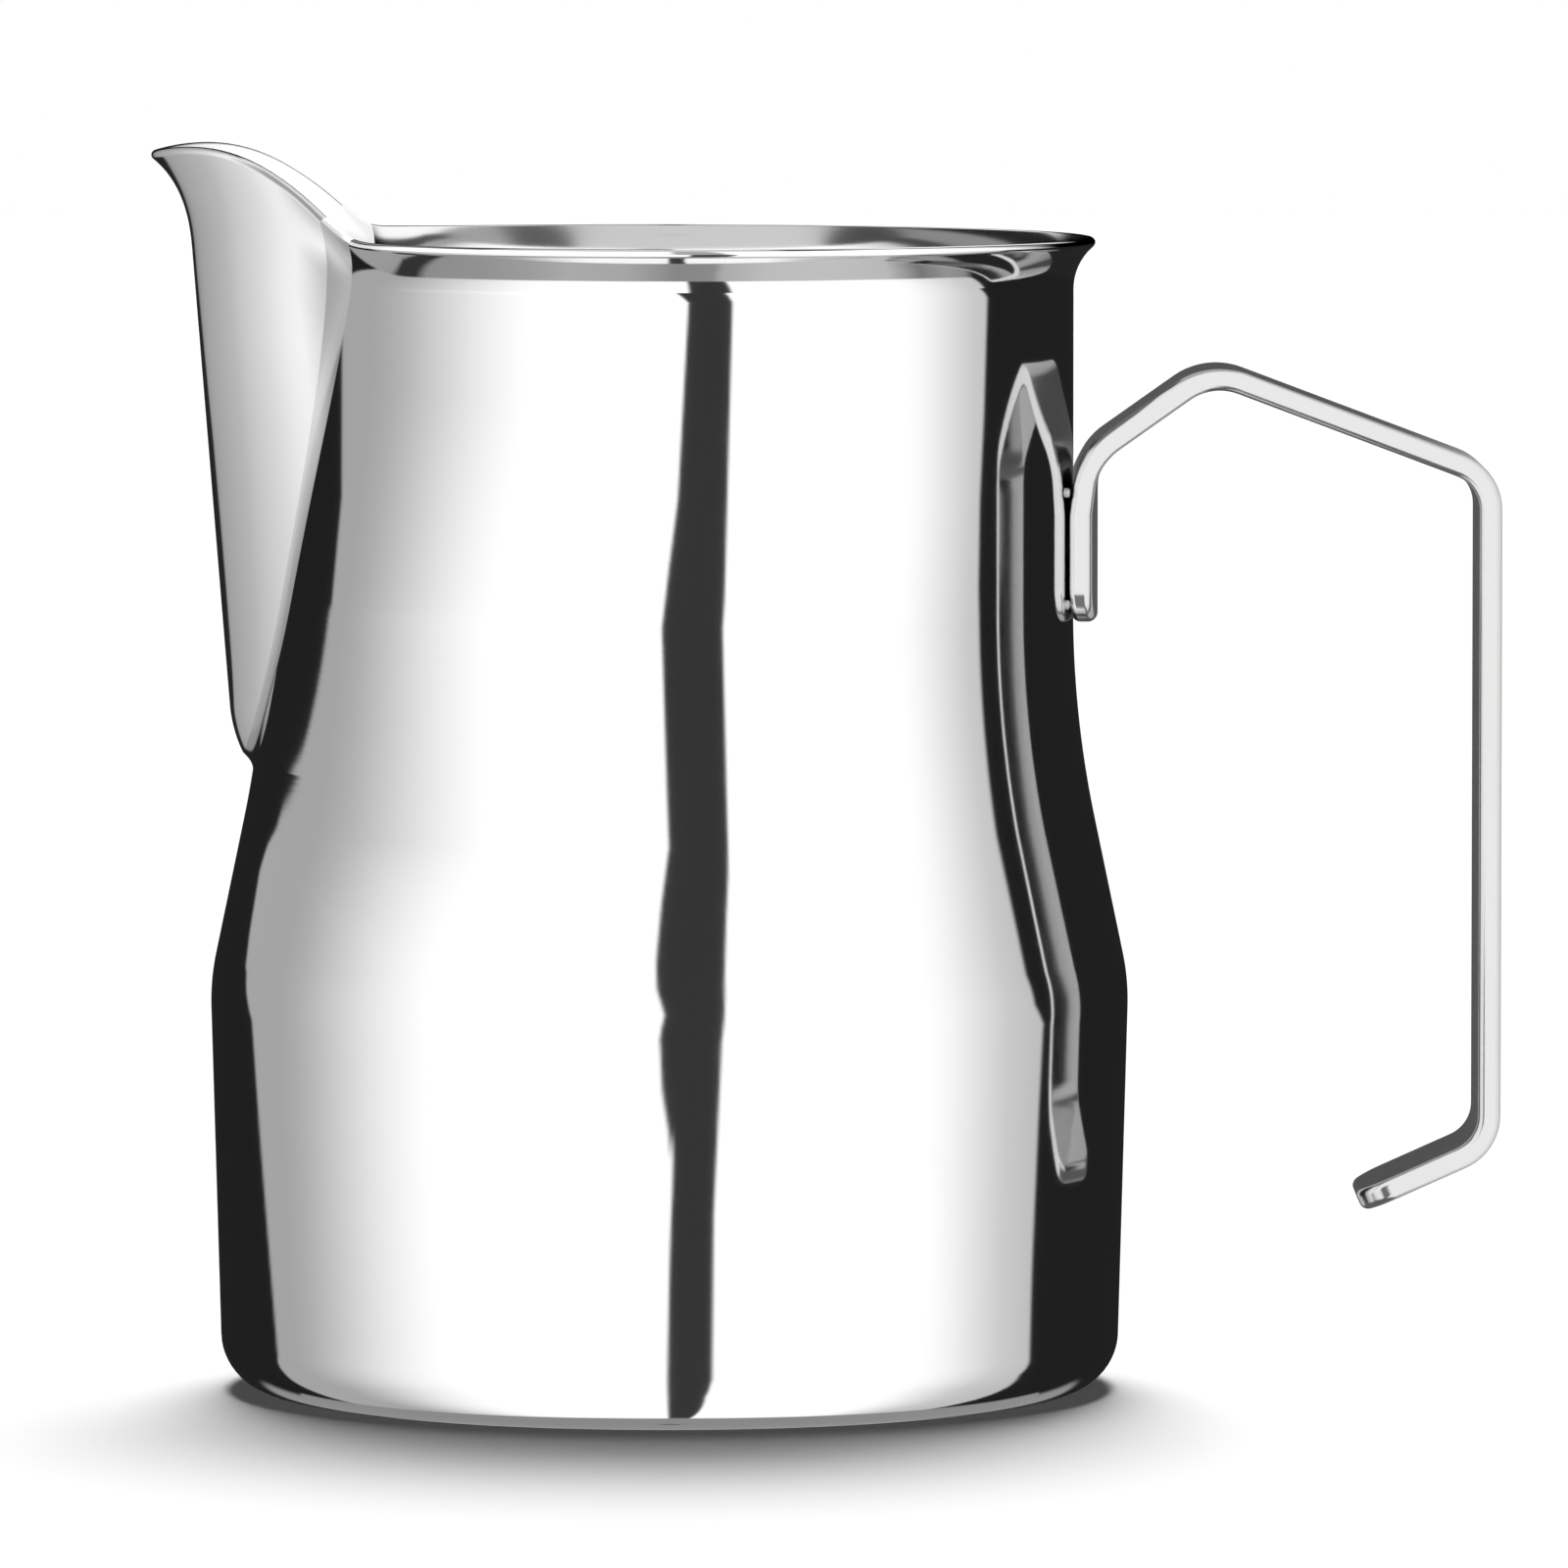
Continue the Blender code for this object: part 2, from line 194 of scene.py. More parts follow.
def rise_of(height):
    """A height as a share of the way from the spout's lowest point to the rim."""
    return np.clip((height - SPOUT_BOTTOM) / (RIM_OUTER - SPOUT_BOTTOM), 0.0, 1.0)


def edge_height(x):
    """Height of the top edge at a distance x from the axis towards the spout."""
    s = (x - EDGE_START) / (CREST_X - EDGE_START)
    s = np.clip((s + np.sqrt(s * s + EDGE_SOFTNESS**2)) / 2, 0.0, 1.0)
    climb = RIM_OUTER + (CREST_HEIGHT - RIM_OUTER) * (1 - (1 - s) ** EDGE_SWEEP)
    fall = np.clip((x - CREST_X) / (TIP_X - CREST_X), 0.0, 1.5)
    return climb - (CREST_HEIGHT - BEAK_TIP) * fall**2


def lifted(x, y, height):
    """The points with their heights stretched up to the top edge."""
    z = height + (edge_height(x) - RIM_OUTER) * rise_of(height)
    return np.stack([-x, y, z], axis=-1)


def cup_point(angle, height):
    """Points of the cup's outer side, above its base."""
    turned = np.abs((angle + math.pi) % (2 * math.pi) - math.pi)
    share = LIP_AT_SEAM + (1 - LIP_AT_SEAM) * smoothstep(SEAM_ANGLE, LIP_FULL_ANGLE, turned)
    radius = wall(height) + share * flare(height)
    return lifted(radius * np.cos(angle), radius * np.sin(angle), height)


# --- the spout ------------------------------------------------------------------------------------


def seam_half_width(height):
    """How far the seam is from the plane through the spout and the handle."""
    return SEAM_HALF_WIDTH * (1 - (1 - rise_of(height)) ** SEAM_SWELL) ** SEAM_BLUNTNESS


def ridge_reach(height):
    """Distance of the ridge from the axis, for a height that counts up to the rim."""
    level = SPOUT_BOTTOM + rise_of(height) * (BEAK_TIP - SPOUT_BOTTOM)
    foot, reach = RIDGE_FOOT
    line = reach + RIDGE_SLOPE * (level - foot)
    share = np.clip((level - SPOUT_BOTTOM) / RIDGE_ROUNDING, 0.0, 1.0)
    line = wall(height) + (line - wall(height)) * np.sqrt(1 - (1 - share) ** 2)
    curl = np.clip((level - BEAK_START) / (BEAK_TIP - BEAK_START), 0.0, 1.0)
    return line + BEAK_REACH * curl**BEAK_CURL


def spout_point(place, height, side):
    """Points of the spout's outer side. Place runs from 0 at the seam to 1 at the ridge."""
    radius, half, reach = wall(height), seam_half_width(height), ridge_reach(height)
    q = 1 - place
    seam_x = np.sqrt(np.maximum(radius**2 - half**2, 0.0))
    x = q * q * seam_x + (1 - q * q) * reach
    y = q * q * half + 2 * q * place * NOSE_SHARE * half
    lip = 1 + LIP_AT_SEAM * (1 - smoothstep(0.0, 0.2, place)) * flare(height) / radius
    return lifted(x * lip, side * y * lip, height)


def surface_normals(point, first, second, steps, limits):
    """Unit normals of a surface given as a function of two arrays, by differences inside its limits."""
    tangents = []
    for i in (0, 1):
        low, high = [first, second], [first, second]
        low[i] = np.maximum(low[i] - steps[i], limits[i][0])
        high[i] = np.minimum(high[i] + steps[i], limits[i][1])
        tangents.append(point(*high) - point(*low))
    return unit(np.cross(tangents[0], tangents[1]))


def cup_normals(angle, height):
    """They point away from the axis."""
    no_limit = (-10.0, 10.0)
    normals = surface_normals(cup_point, angle, height, (0.002, PROBE), (no_limit, (0.0, RIM_OUTER)))
    outwards = np.stack([-np.cos(angle), np.sin(angle), 0 * angle], axis=-1)
    return normals * np.sign(np.sum(normals * outwards, axis=-1, keepdims=True))


def spout_normals(place, height, side):
    """They point away from the axis."""

    def point(p, h):
        return spout_point(p, h, side)

    limits = ((0.0, 1.0), (SPOUT_BOTTOM, RIM_OUTER))
    normals = surface_normals(point, place, height, (0.004, PROBE), limits)
    outwards = point(place, height) * (1, 1, 0)
    return normals * np.sign(np.sum(normals * outwards, axis=-1, keepdims=True))


# --- the seam between them ------------------------------------------------------------------------


def place_at(angle, height):
    """Place on the spout at an angle round the axis, where spout_point has y = x tan(angle)."""
    half, far = seam_half_width(height), ridge_reach(height)
    near = np.sqrt(np.maximum(wall(height) ** 2 - half**2, 0.0))
    t = np.tan(angle)
    a = (1 - 2 * NOSE_SHARE) * half - t * (near - far)
    b = 2 * NOSE_SHARE * half
    q = (-b + np.sqrt(b * b + 4 * a * t * far)) / (2 * a)
    return np.clip(1 - q, 0.0, 1.0)


def seam_rows():
    """The seam and its two offset curves, one on the cup and one on the spout, from the toe up to the rim:
    heights and angles on the cup's side, heights and places on the spout's side."""
    share = np.linspace(0.0, 1.0, SEAM_ROWS + 1)
    # the rows lie closer together near the toe and the rim
    rise = 0.5 * share**2.2 + 0.5 * (1 - np.cos(math.pi * share)) / 2
    heights = SPOUT_BOTTOM + rise * (RIM_OUTER - SPOUT_BOTTOM)
    radii = wall(heights)
    along = radii * np.arcsin(seam_half_width(heights) / radii)
    step = np.gradient(np.column_stack([along, heights]), axis=0)
    away = unit(np.column_stack([step[:, 1], -step[:, 0]]))
    away[0], away[-1] = (0.0, -1.0), (1.0, 0.0)
    reach = (FILLET[0] + (FILLET[1] - FILLET[0]) * rise**4)[:, None]
    path = np.column_stack([along, heights])
    cup_side, spout_side = path + reach * away, path - reach * away
    cup_angle = cup_side[:, 0] / wall(cup_side[:, 1])
    spout_angle = np.maximum(spout_side[:, 0], 0.0) / wall(spout_side[:, 1])
    cup_angle[0] = spout_angle[0] = 0.0
    place = place_at(spout_angle, spout_side[:, 1])
    place[0] = 1.0
    return heights, along / radii, cup_side[:, 1], cup_angle, spout_side[:, 1], place


SEAM_H, SEAM_A, CUP_H, CUP_A, SPOUT_H, SPOUT_P = seam_rows()

# --- meshes ---------------------------------------------------------------------------------------


class Shell:
    """A mesh in the making: vertices with their own normals, and faces."""

    def __init__(self):
        self.points, self.normals, self.inside, self.faces, self.count = [], [], [], [], 0

    def grid(self, points, normals, inside=0.0, flip=False):
        """Adds a grid of quads, all on the sheet's outer side or all on its inside."""
        rows, columns = points.shape[:2]
        index = self.count + np.arange(rows * columns).reshape(rows, columns)
        self.points.append(points.reshape(-1, 3))
        self.normals.append(normals.reshape(-1, 3))
        self.inside.append(np.full(rows * columns, float(inside)))
        a, b, c, d = index[:-1, :-1], index[:-1, 1:], index[1:, 1:], index[1:, :-1]
        quads = np.stack([a, b, c, d] if not flip else [a, d, c, b], axis=-1)
        self.faces.append(quads.reshape(-1, 4))
        self.count += rows * columns

    def build(self, name):
        """Welds vertices that lie on each other, drops faces with no area, and makes the object."""
        points, normals = np.vstack(self.points), np.vstack(self.normals)
        inside = np.concatenate(self.inside)
        key = np.round(points / WELD_DISTANCE + WELD_SHIFT).astype(np.int64)
        side = np.round(inside).astype(np.int64)[:, None]
        _, first, back = np.unique(np.hstack([key, side]), axis=0, return_index=True, return_inverse=True)
        back = back.reshape(-1)
        faces = []
        for face in back[np.vstack(self.faces)]:
            ring = [int(v) for i, v in enumerate(face) if v != face[i - 1]]
            if len(set(ring)) == len(ring) and len(ring) > 2:
                faces.append(ring)
        mesh = bpy.data.meshes.new(name)
        mesh.from_pydata(mm(points[first]).tolist(), [], faces)
        mesh.shade_smooth()
        mesh.normals_split_custom_set_from_vertices(unit(normals[first]).tolist())
        attribute = mesh.attributes.new("inside", "FLOAT", "POINT")
        attribute.data.foreach_set("value", inside[first].astype(np.float32))
        piece = bpy.data.objects.new(name, mesh)
        bpy.context.scene.collection.objects.link(piece)
        return piece


def sheet(shell, points, normals, thickness, up=None, flip=False):
    """Adds a grid as one side of a sheet, its other side, and the rounded edge along its last row."""
    inner = points - thickness[..., None] * normals
    shell.grid(points, normals, 0.0, flip)
    shell.grid(inner, -normals, 1.0, not flip)
    if up is None:
        return
    top, bottom = points[-1], inner[-1]
    middle, arm = (top + bottom) / 2, (top - bottom) / 2
    half = np.linalg.norm(arm, axis=-1, keepdims=True)
    rows, leans = [], []
    for turn in np.linspace(0.0, math.pi, EDGE_STEPS + 1):
        rows.append(middle + arm * math.cos(turn) + up * half * math.sin(turn))
        leans.append(normals[-1] * math.cos(turn) + up * math.sin(turn))
    shell.grid(np.array(rows), np.array(leans), 0.0, flip)


def edge_direction(normals, points):
    """Direction of the sheet at its edge: across its normals and the edge's own line, upwards."""
    along = unit(np.gradient(points, axis=0))
    up = unit(np.cross(normals, along))
    return up * np.sign(up[:, 2:3])


def lower_profile():
    """The cup's outer side, from the middle of its base up to just below the spout: its (radius, height)
    points, and their normals as (outward, upward) parts."""
    side = wall_profile(*WALL_STEPS)
    side = side[side[:, 1] < CUP_H[0] - 0.4]  # the next row is the one at the seam's toe
    base = np.linspace(0.0, side[0, 0], BASE_RINGS + 1)[:-1]
    flat, down = np.column_stack([base, 0 * base]), np.column_stack([0 * base, -np.ones_like(base)])
    above, below = side[:, 1] + PROBE / 2, np.maximum(side[:, 1] - PROBE / 2, 0)
    slope = (wall(above) - wall(below)) / (above - below)
    normals = unit(np.column_stack([np.ones_like(slope), -slope]))
    drop = (BASE_CORNER - side[:, 1]) / BASE_CORNER
    in_corner = side[:, 1] < BASE_CORNER * 0.98
    lean = np.sqrt(np.clip(1 - drop**2, 0, 1))
    normals[in_corner] = np.column_stack([lean, -drop])[in_corner]
    return np.vstack([flat, side]), np.vstack([down, normals])


def make_cup():
    """Base, belly, shoulder and neck, with the opening for the spout, and the flared lip as a second mesh."""
    around = np.linspace(0.0, 1.0, CUP_COLUMNS + 1)
    c, s = np.cos(2 * math.pi * around), np.sin(2 * math.pi * around)
    rows, leans = [], []
    low, low_normals = lower_profile()
    for (radius, height), (out, rise) in zip(low, low_normals):
        rows.append(np.column_stack([-radius * c, radius * s, np.full_like(c, height)]))
        leans.append(np.column_stack([-out * c, out * s, np.full_like(c, rise)]))
    for height, gap in zip(CUP_H, CUP_A):
        angle = gap + (2 * math.pi - 2 * gap) * around
        level = np.full_like(angle, height)
        rows.append(cup_point(angle, level))
        leans.append(cup_normals(angle, level))
    points, normals = np.array(rows), unit(np.array(leans))
    thickness = np.full(points.shape[:2], SHEET)
    split = len(low) + int(np.searchsorted(CUP_H, LIP_START + LIP_SPLIT))
    body, lip = Shell(), Shell()
    sheet(body, points[: split + 1], normals[: split + 1], thickness[: split + 1], flip=True)
    up = edge_direction(normals[-1], points[-1])
    sheet(lip, points[split:], normals[split:], thickness[split:], up, flip=True)
    return body.build("cup"), lip.build("cup_lip")


def spout_thickness(height):
    """The sheet thins out into the seam at the spout's lowest point."""
    return SHEET * (TOE_SHARE + (1 - TOE_SHARE) * smoothstep(SPOUT_BOTTOM - 1.0, SPOUT_BOTTOM + 7.0, height))


def make_spout():
    """The pressed beak: its near half from the seam to the ridge, and then its far half back to the seam."""
    share = np.sin(np.linspace(0.0, math.pi / 2, SPOUT_COLUMNS + 1))
    rows, leans = [], []
    for height, start in zip(SPOUT_H, SPOUT_P):
        place = start + (1 - start) * share
        level = np.full_like(place, height)
        near, far = spout_point(place, level, -1), spout_point(place, level, 1)
        near_lean, far_lean = spout_normals(place, level, -1), spout_normals(place, level, 1)
        near_lean[-1] = unit(near_lean[-1] * (1, 0, 1))
        rows.append(np.vstack([near, far[-2::-1]]))
        leans.append(np.vstack([near_lean, far_lean[-2::-1]]))
    points, normals = np.array(rows), np.array(leans)
    normals[0] = normals[1, SPOUT_COLUMNS]
    thickness = np.repeat(spout_thickness(SPOUT_H)[:, None], points.shape[1], axis=1)
    shell = Shell()
    sheet(shell, points, normals, thickness, edge_direction(normals[-1], points[-1]), flip=True)
    return shell.build("spout")


def make_spout_weld():
    """The blended seam: a ribbon that runs smoothly from the spout into the cup."""
    shell = Shell()
    t = np.linspace(0.0, 1.0, FILLET_STEPS + 1)[None, :, None]
    for side in (-1, 1):
        cup_lean = cup_normals(side * CUP_A, CUP_H)[:, None]
        spout_lean = spout_normals(SPOUT_P, SPOUT_H, side)
        spout_lean[0] = spout_lean[1] * (1, 0, 1)
        spout_lean = unit(spout_lean)[:, None]
        on_spout = spout_point(SPOUT_P, SPOUT_H, side)[:, None]
        on_seam = cup_point(side * SEAM_A, SEAM_H)[:, None]
        on_cup = cup_point(side * CUP_A, CUP_H)[:, None]
        points = (1 - t) ** 2 * on_spout + 2 * t * (1 - t) * on_seam + t**2 * on_cup
        to_spout = np.linalg.norm(on_seam - on_spout, axis=-1, keepdims=True)
        to_cup = np.linalg.norm(on_cup - on_seam, axis=-1, keepdims=True)
        normals = unit((1 - t) * to_spout * spout_lean + t * to_cup * cup_lean)
        thickness = (1 - t[..., 0]) * spout_thickness(SPOUT_H)[:, None] + t[..., 0] * SHEET
        sheet(shell, points, normals, thickness, edge_direction(normals[-1], points[-1]), flip=side > 0)
    return shell.build("spout_weld")


# --- the handle -----------------------------------------------------------------------------------


def handle_path():
    """(x, z) points of the strip's middle plane, from the bottom of the tab to the free tip."""
    tab = wall(TAB_BOTTOM) + TAB_GAP + STRIP_THICKNESS / 2
    (first_height, first_bend), *others = HANDLE_BENDS
    corners = [(tab, TAB_BOTTOM), (tab, first_height)] + [b[:2] for b in others] + [HANDLE_TIP]
    bends = [first_bend] + [b[2] for b in others]
    threes = zip(corners, corners[1:], corners[2:])
    arcs = [rounded_corner(*three, bend, BEND_STEPS) for three, bend in zip(threes, bends)]
    return np.vstack([[corners[0]], *arcs, [corners[-1]]])


def path_lengths(path):
    """Length of the path up to each of its points."""
    return np.concatenate([[0.0], np.cumsum(np.linalg.norm(np.diff(path, axis=0), axis=1))])


def along_path(path, distance):
    """Points and directions at distances along a path."""
    lengths = path_lengths(path)

    def place(at):
        return np.column_stack([np.interp(at, lengths, path[:, i]) for i in (0, 1)])

    ahead, behind = (np.clip(distance + d, 0, lengths[-1]) for d in (PROBE, -PROBE))
    return place(distance), unit(place(ahead) - place(behind))


def strip_place(path, distance, across, depth, lean):
    """Places of points of the strip, given by distance along it, place across it and height over its middle
    plane, with their normals. The lean is the normal's own (along, across, out) parts."""
    shape = distance.shape
    point, way = along_path(path, distance.ravel())
    out = np.column_stack([way[:, 1], -way[:, 0]])
    x = point[:, 0] + depth.ravel() * out[:, 0]
    z = point[:, 1] + depth.ravel() * out[:, 1]
    y = across.ravel()
    lean = lean.reshape(-1, 3)
    nx = lean[:, 0] * way[:, 0] + lean[:, 2] * out[:, 0]
    nz = lean[:, 0] * way[:, 1] + lean[:, 2] * out[:, 1]
    ny = lean[:, 1]
    # the tab follows the wall's curve, and this fades out up to the first bend
    radius = wall(TAB_BOTTOM) + TAB_GAP
    on_tab = point[:, 0] < radius + TAB_REACH
    top, bend = HANDLE_BENDS[0]
    fade = np.where(on_tab, np.clip(1 - (z - top + bend) / bend, 0.0, 1.0), 0.0)
    fading = np.where(on_tab & (fade > 0) & (fade < 1), -1 / bend, 0.0)
    sag = radius - np.sqrt(radius**2 - y**2)
    slope = y / np.sqrt(radius**2 - y**2)
    points = np.column_stack([x - fade * sag, y, z]).reshape(shape + (3,))
    normals = np.column_stack([nx, ny + fade * slope * nx, nz + fading * sag * nx])
    return points, unit(normals).reshape(shape + (3,))


def outline(grid):
    """The border of a grid as one closed loop."""
    return np.concatenate([grid[0], grid[1:, -1], grid[-1, -2::-1], grid[-2::-1, 0]])


def make_handle():
    """The bent strip: two flat sides inside its rounded corners, and a rounded band round them."""
    path = handle_path()
    length = path_lengths(path)[-1]
    half, corner = STRIP_WIDTH / 2 - STRIP_EDGE, STRIP_CORNER - STRIP_EDGE
    turns = np.linspace(0.0, math.pi / 2, CORNER_POINTS)
    start = STRIP_EDGE + corner * (1 - np.cos(turns))
    narrow = half - corner + corner * np.sin(turns)
    middle = np.linspace(STRIP_CORNER, length - STRIP_CORNER, STRIP_ROWS + 2)[1:-1]
    rows = np.concatenate([start, middle, length - start[::-1]])
    widths = np.concatenate([narrow, np.full(len(middle), half), narrow[::-1]])
    end_lean = np.concatenate([-np.cos(turns), np.zeros(len(middle)), np.cos(turns[::-1])])
    side_lean = np.concatenate([np.sin(turns), np.ones(len(middle)), np.sin(turns[::-1])])
    along = np.repeat(rows[:, None], STRIP_COLUMNS, axis=1)
    across = widths[:, None] * np.linspace(-1.0, 1.0, STRIP_COLUMNS)[None, :]
    shell = Shell()
    for side in (1, -1):
        lean = np.zeros(along.shape + (3,))
        lean[..., 2] = side
        depth = np.full(along.shape, side * STRIP_THICKNESS / 2)
        points, normals = strip_place(path, along, across, depth, lean)
        shell.grid(points, normals, 0.0, side < 0)

    loop, loop_across = outline(along), outline(across)
    end = np.ones(STRIP_COLUMNS)
    loop_end = np.concatenate([-end, end_lean[1:], end[1:], end_lean[-2::-1]])
    loop_side = np.concatenate([0 * end, side_lean[1:], 0 * end[1:], -side_lean[-2::-1]])
    flat = STRIP_THICKNESS / 2 - STRIP_EDGE
    quarter = np.linspace(math.pi / 2, 0, ROUND_POINTS)
    bands = []
    for turn, level in [(t, flat) for t in quarter] + [(-t, -flat) for t in quarter[::-1]]:
        c, s = math.cos(turn), math.sin(turn)
        bands.append((
            loop + STRIP_EDGE * c * loop_end,
            loop_across + STRIP_EDGE * c * loop_side,
            np.full_like(loop, level + STRIP_EDGE * s),
            np.column_stack([c * loop_end, c * loop_side, np.full_like(loop, s)]),
        ))
    points, normals = strip_place(path, *(np.array(part) for part in zip(*bands)))
    shell.grid(points, normals, 0.0, True)
    return shell.build("handle")


def make_handle_weld(name):
    """The weld between tab and wall: a flat nugget, and squeezed-out metal at each edge of the tab."""
    low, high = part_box(name)
    height = 1000 * (low.z + high.z) / 2
    bead_height = height + math.copysign(BEAD_SPREAD, height - WELDS_MIDDLE)
    u, v = np.meshgrid(np.linspace(0.0, 2 * math.pi, 25), np.linspace(-math.pi / 2, math.pi / 2, 13))
    ball = np.stack([np.cos(v) * np.cos(u), np.cos(v) * np.sin(u), np.sin(v)], axis=-1)
    shell = Shell()
    for y, size, z in (
        (0.0, (TAB_GAP / 2, NUGGET_RADIUS, NUGGET_RADIUS), height),
        (-BEAD_OFFSET, BEAD_SIZE, bead_height),
        (BEAD_OFFSET, BEAD_SIZE, bead_height),
    ):
        turn = math.asin(y / wall(height))
        c, s = math.cos(turn), math.sin(turn)
        spin = np.array([(c, s, 0.0), (-s, c, 0.0), (0.0, 0.0, 1.0)])
        place = (math.sqrt(wall(height) ** 2 - y**2) + TAB_GAP / 2, y, z)
        shell.grid(ball * size @ spin + place, unit(ball / size) @ spin, 0.0)
    return shell.build(name)


# --- materials ------------------------------------------------------------------------------------


def nodes_of(name):
    """A new material with its Principled shader, and a maker of linked nodes."""
    material = bpy.data.materials.new(name)
    material.use_nodes = True
    tree = material.node_tree
    shader = tree.nodes["Principled BSDF"]

    def add(kind, inputs=None, **settings):
        node = tree.nodes.new(kind)
        for key, value in settings.items():
            setattr(node, key, value)
        for key, value in (inputs or {}).items():
            if isinstance(value, bpy.types.NodeSocket):
                tree.links.new(value, node.inputs[key])
            else:
                node.inputs[key].default_value = value
        return node

    return material, shader, add, tree.links.new


def steel_material(name, colour, roughness, spread, grain, bump, inside_roughness=None):
    """Steel with a fine ground grain that runs round the axis, faint clouding and tiny unevenness."""
    material, shader, add, link = nodes_of(name)
    shader.inputs["Metallic"].default_value = 1.0
    where = add("ShaderNodeTexCoord").outputs["Object"]
    stretched = add("ShaderNodeMapping", {"Vector": where, "Scale": grain}).outputs["Vector"]
    streaks = add("ShaderNodeTexNoise", {"Vector": stretched, "Scale": 1.0, "Detail": 6.0, "Roughness": 0.6})
    clouds = add("ShaderNodeTexNoise", {"Vector": where, "Scale": 38.0, "Detail": 3.0, "Roughness": 0.5})
    mixed = add("ShaderNodeMath", {0: streaks.outputs["Fac"], 1: clouds.outputs["Fac"]}, operation="ADD")
    rough = add("ShaderNodeMapRange", {
        "Value": mixed.outputs[0], "From Min": 0.6, "From Max": 1.4,
        "To Min": roughness - spread, "To Max": roughness + spread,
    }).outputs["Result"]
    if inside_roughness is not None:
        inner = add("ShaderNodeAttribute", attribute_name="inside").outputs["Fac"]
        extra = add("ShaderNodeMath", {0: inner, 1: inside_roughness - roughness}, operation="MULTIPLY")
        rough = add("ShaderNodeMath", {0: rough, 1: extra.outputs[0]}, operation="ADD").outputs[0]
    link(rough, shader.inputs["Roughness"])
    tint = add("ShaderNodeMix", {"Factor": clouds.outputs["Fac"]}, data_type="RGBA")
    tint.inputs[6].default_value = tuple(0.97 * c for c in colour) + (1.0,)
    tint.inputs[7].default_value = tuple(1.03 * c for c in colour) + (1.0,)
    link(tint.outputs[2], shader.inputs["Base Color"])
    uneven = add("ShaderNodeBump", {"Height": streaks.outputs["Fac"], "Strength": bump, "Distance": mm(0.01)})
    link(uneven.outputs["Normal"], shader.inputs["Normal"])
    return material


def finish(piece, material, slot, *nodes):
    """Gives a piece its material, and its place in the frame."""
    piece.data.materials.append(material)
    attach(piece, "root")
    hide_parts(*nodes)
    return piece


# --- studio ---------------------------------------------------------------------------------------
# The pitcher stands in small round light tents of white cloth with black flags. There is one for each group
# of pieces, and it is all that they reflect besides each other. The tables give directions or tones by
# height, by direction, or by the sine of the angle round the axis.

TENT_RADIUS = 105.0
TENT_HOLE = 2.0  # radius of the hole in the middle of its table and of its roof
TENT_LOW, TENT_HIGH = -60.0, 260.0
TABLE_ROWS, ROOF_ROWS = 40, 60
WALL_ROWS = np.concatenate([  # heights, close together where the flags' edges lean the most
    np.linspace(TENT_LOW + 0.1, 20.0, 30)[:-1],
    np.arange(20.0, 118.0, 0.6),
    np.linspace(118.0, TENT_HIGH - 0.1, 50),
])
TENT_GROWTH = 0.01  # each tent is larger than the last by this share

BLACK = 0.016
SLIT_TONE = 0.042
LEFT_FLAG = (
    (-60, -30, -5, 18, 30, 40, 46, 51, 57, 60, 64, 67, 73, 84, 110),
    (-112, -104, -98.8, -104.5, -107, -110, -111.5, -115, -117, -115.5, -110.7, -103.5, -93.5, -89, -88.5),
)
RIGHT_FLAG = (
    (-60, -30, -5, 5, 20, 30, 40, 60, 75, 84, 92, 105),
    (97, 88.5, 86.5, 86.5, 87.4, 88.3, 85, 83.8, 82.5, 83, 84.5, 86),
)
SLIT_LEFT = (
    (-4, 8, 17, 24, 30, 38, 46, 60, 66, 72, 78, 85, 107, 118),
    (-0.1, 0.4, 1.1, -1.1, -1.6, -1.2, -0.6, -1.9, -2.4, -1.4, 0.2, 2.3, 5.1, 7.5),
)
SLIT_RIGHT = ((-20, 12, 28, 45, 64, 70, 75, 107), (8.8, 9.2, 10.6, 11.2, 11.6, 12.3, 13.1, 15.1))
FLAG_EDGE, SLIT_EDGE = 0.7, 0.35  # half widths of their soft edges

CLOTH_DIM, CLOTH_GAIN = 0.46, 0.86  # its tone beside the left flag, and what it gains towards the middle
CLOTH_FADE = ((-10, 20, 40, 62, 69, 75, 84, 95), (-94, -96, -96, -97, -94, -88.5, -84.5, -79.5))
FADE_WIDTH = 56.0
RIGHT_FADE = ((50, 58, 62, 69, 76, 84, 95), (1.32, 1.2, 1.1, 0.91, 0.74, 0.66, 0.6))
RIGHT_SHIFT = (50, 90, 4.0)  # the right fade moves back between these heights, by this much
CLOTH_TOP, TOP_EDGE = 140.0, 12.0  # above it hang the narrower lamps that light the rim and the inside
LAMPS = ((-45, 24, 0.75), (48, 66, 0.6), (-108, -77, 0.5), (150, 210, 0.5), (95, 125, 0.3))
LAMP_EDGE = 2.5
BETWEEN_LAMPS = 0.05
BACK_LAMP = (165, 195, 5.0)
BACK_LAMP_TONE = 0.75
# painted shadow: the table's grey stands for the floor in the pitcher's own shadow, as the steel reflects it
SHADOWED_TABLE_TONE = 0.31
TABLE_SHADOW_EDGE = (30.0, 0.0125)  # the table carries a painted shadow behind this curve: its place before the axis, and its bend
LOW_BACK_SHADOW = ((-42.0, -34.0), (126, 136))  # the painted shadow's grey goes on up the wall: heights, and directions at the back

SPOUT_CLOTH = (
    (-250, -215, -168, -136, -132, -126, -120, -112, -103,
     -92, -86.5, -84, -82, -79, -72, -65, -20, 10, 90),
    (1.5, 1.0, 0.02, 0.02, 0.24, 0.37, 0.43, 0.48, 0.57,
     0.84, 1.05, 1.10, 0.95, 0.72, 0.46, 0.38, 0.7, 1.5, 1.6),
)
SPOUT_LEVEL = ((50, 68, 84, 94, 103), (0.95, 0.98, 1.0, 1.03, 1.0))
SPOUT_BLACK = 0.02
RIDGE_LINE = ((60, 85, 103), (-123, -127, -133))
RIDGE_ZONE = (-115, 55)  # its middle and half width

